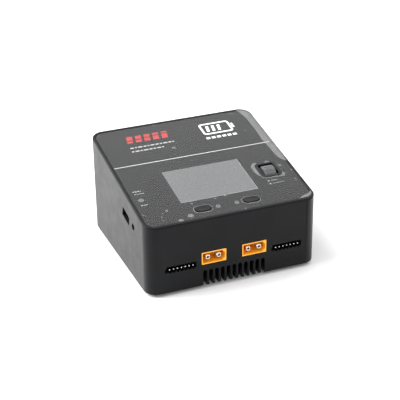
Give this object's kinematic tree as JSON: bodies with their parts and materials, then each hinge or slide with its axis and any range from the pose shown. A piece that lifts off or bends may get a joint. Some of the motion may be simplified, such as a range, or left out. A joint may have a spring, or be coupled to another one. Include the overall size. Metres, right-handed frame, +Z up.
{
  "type": "balance battery charger",
  "caption": "Compact two-channel balance charger with a wedge-shaped case, sloping display panel, scroll wheel, buttons and front battery sockets.",
  "frame": {"origin": "on the ground, in the middle of the case's footprint", "axes": "+X to the right across the case, +Y from the front sockets to the rear, +Z up"},
  "size_m": [0.112, 0.107, 0.0667],
  "materials": {
    "case_plastic": "black, fine satin texture",
    "cover_plastic": "black, matt",
    "foot_rubber": "matt",
    "black_steel": "black oxide",
    "plain_steel": "zinc plated",
    "label_film": "silver film",
    "panel_plastic": "grey, printed, satin",
    "clear_film": "thin clear protective film",
    "display_window": "grey, unlit",
    "display_metal": "pressed tin plate",
    "control_plastic": "black",
    "wheel_rubber": "grey grip",
    "board": "green solder mask",
    "chip_plastic": "black epoxy",
    "tin_plate": "tin plated",
    "white_plastic": "white",
    "cream_plastic": "cream",
    "socket_nylon": "amber yellow nylon",
    "bullet_metal": "plated",
    "ferrite": "dark grey",
    "capacitor_sleeve": "dark blue sleeve",
    "sink_aluminium": "extruded",
    "pad_rubber": "soft pad",
    "winding_tape": "yellow tape",
    "copper_choke": "enamelled copper",
    "fuse_ceramic": "white",
    "blade_metal": "nickel plated",
    "wire_brown": "brown",
    "wire_blue": "blue",
    "wire_green": "green and yellow",
    "ribbon_film": "grey"
  },
  "bodies": {
    "case": {"top_shell": "case_plastic", "bottom_cover": "cover_plastic", "rubber_feet": "foot_rubber", "case_screws": "black_steel", "rating_label": "label_film", "top_panel": "panel_plastic", "protective_film": "clear_film", "display_lens": "display_window", "display_module": "display_metal", "wheel_bezel": "control_plastic", "wheel_switch": "control_plastic", "left_button_switch": "control_plastic", "right_button_switch": "control_plastic", "control_board": "board", "control_board_screws": "plain_steel", "control_chips": "chip_plastic", "buzzer": "control_plastic", "usb_port_shell": "tin_plate", "usb_port_tongue": "white_plastic", "service_jack": "control_plastic", "ribbon_cable": "ribbon_film", "ribbon_sockets": "cream_plastic", "main_board": "board", "main_board_screws": "plain_steel", "main_chips": "chip_plastic", "left_output_socket": "socket_nylon", "left_output_pins": "bullet_metal", "right_output_socket": "socket_nylon", "right_output_pins": "bullet_metal", "left_balance_port": "control_plastic", "left_balance_pins": "tin_plate", "right_balance_port": "control_plastic", "right_balance_pins": "tin_plate", "left_inductor": "ferrite", "right_inductor": "ferrite", "output_capacitors": "capacitor_sleeve", "upper_heat_sink": "sink_aluminium", "power_transistors": "chip_plastic", "lower_heat_sink": "sink_aluminium", "thermal_pad": "pad_rubber", "transformer_core": "ferrite", "transformer_winding": "winding_tape", "bulk_capacitor": "capacitor_sleeve", "line_filter": "copper_choke", "fuse": "fuse_ceramic", "mains_inlet": "control_plastic", "mains_blades": "blade_metal", "live_wire": "wire_brown", "neutral_wire": "wire_blue", "earth_wire": "wire_green", "fan_frame": "control_plastic", "fan_screws": "black_steel"},
    "scroll_wheel": {"scroll_wheel": "wheel_rubber", "wheel_axle": "plain_steel"},
    "wheel_click": {"wheel_carrier": "control_plastic", "wheel_encoder": "board"},
    "left_button": {"left_button": "control_plastic"},
    "right_button": {"right_button": "control_plastic"},
    "fan_rotor": {"fan_rotor": "control_plastic"}
  },
  "joints": [
    {"name": "left_button_press", "type": "slide", "parent": "case", "child": "left_button", "axis": [0, 0.1822, -0.9833], "range_m": [0, 0.0004], "stiffness_N_per_m": 2500, "springref_m": -0.0003},
    {"name": "right_button_press", "type": "slide", "parent": "case", "child": "right_button", "axis": [0, 0.1822, -0.9833], "range_m": [0, 0.0004], "stiffness_N_per_m": 2500, "springref_m": -0.0003},
    {"name": "wheel_press", "type": "slide", "parent": "case", "child": "wheel_click", "axis": [0, 0.1822, -0.9833], "range_m": [0, 0.0004], "stiffness_N_per_m": 3000, "springref_m": -0.0003},
    {"name": "wheel_scroll", "type": "hinge", "parent": "wheel_click", "child": "scroll_wheel", "pos_m": [0.0388, -0.01702, 0.04939], "axis": [1, 0, 0], "continuous": true},
    {"name": "fan_spin", "type": "hinge", "parent": "case", "child": "fan_rotor", "pos_m": [-0.023, 0.0461, 0.035], "axis": [0, 1, 0], "continuous": true}
  ]
}
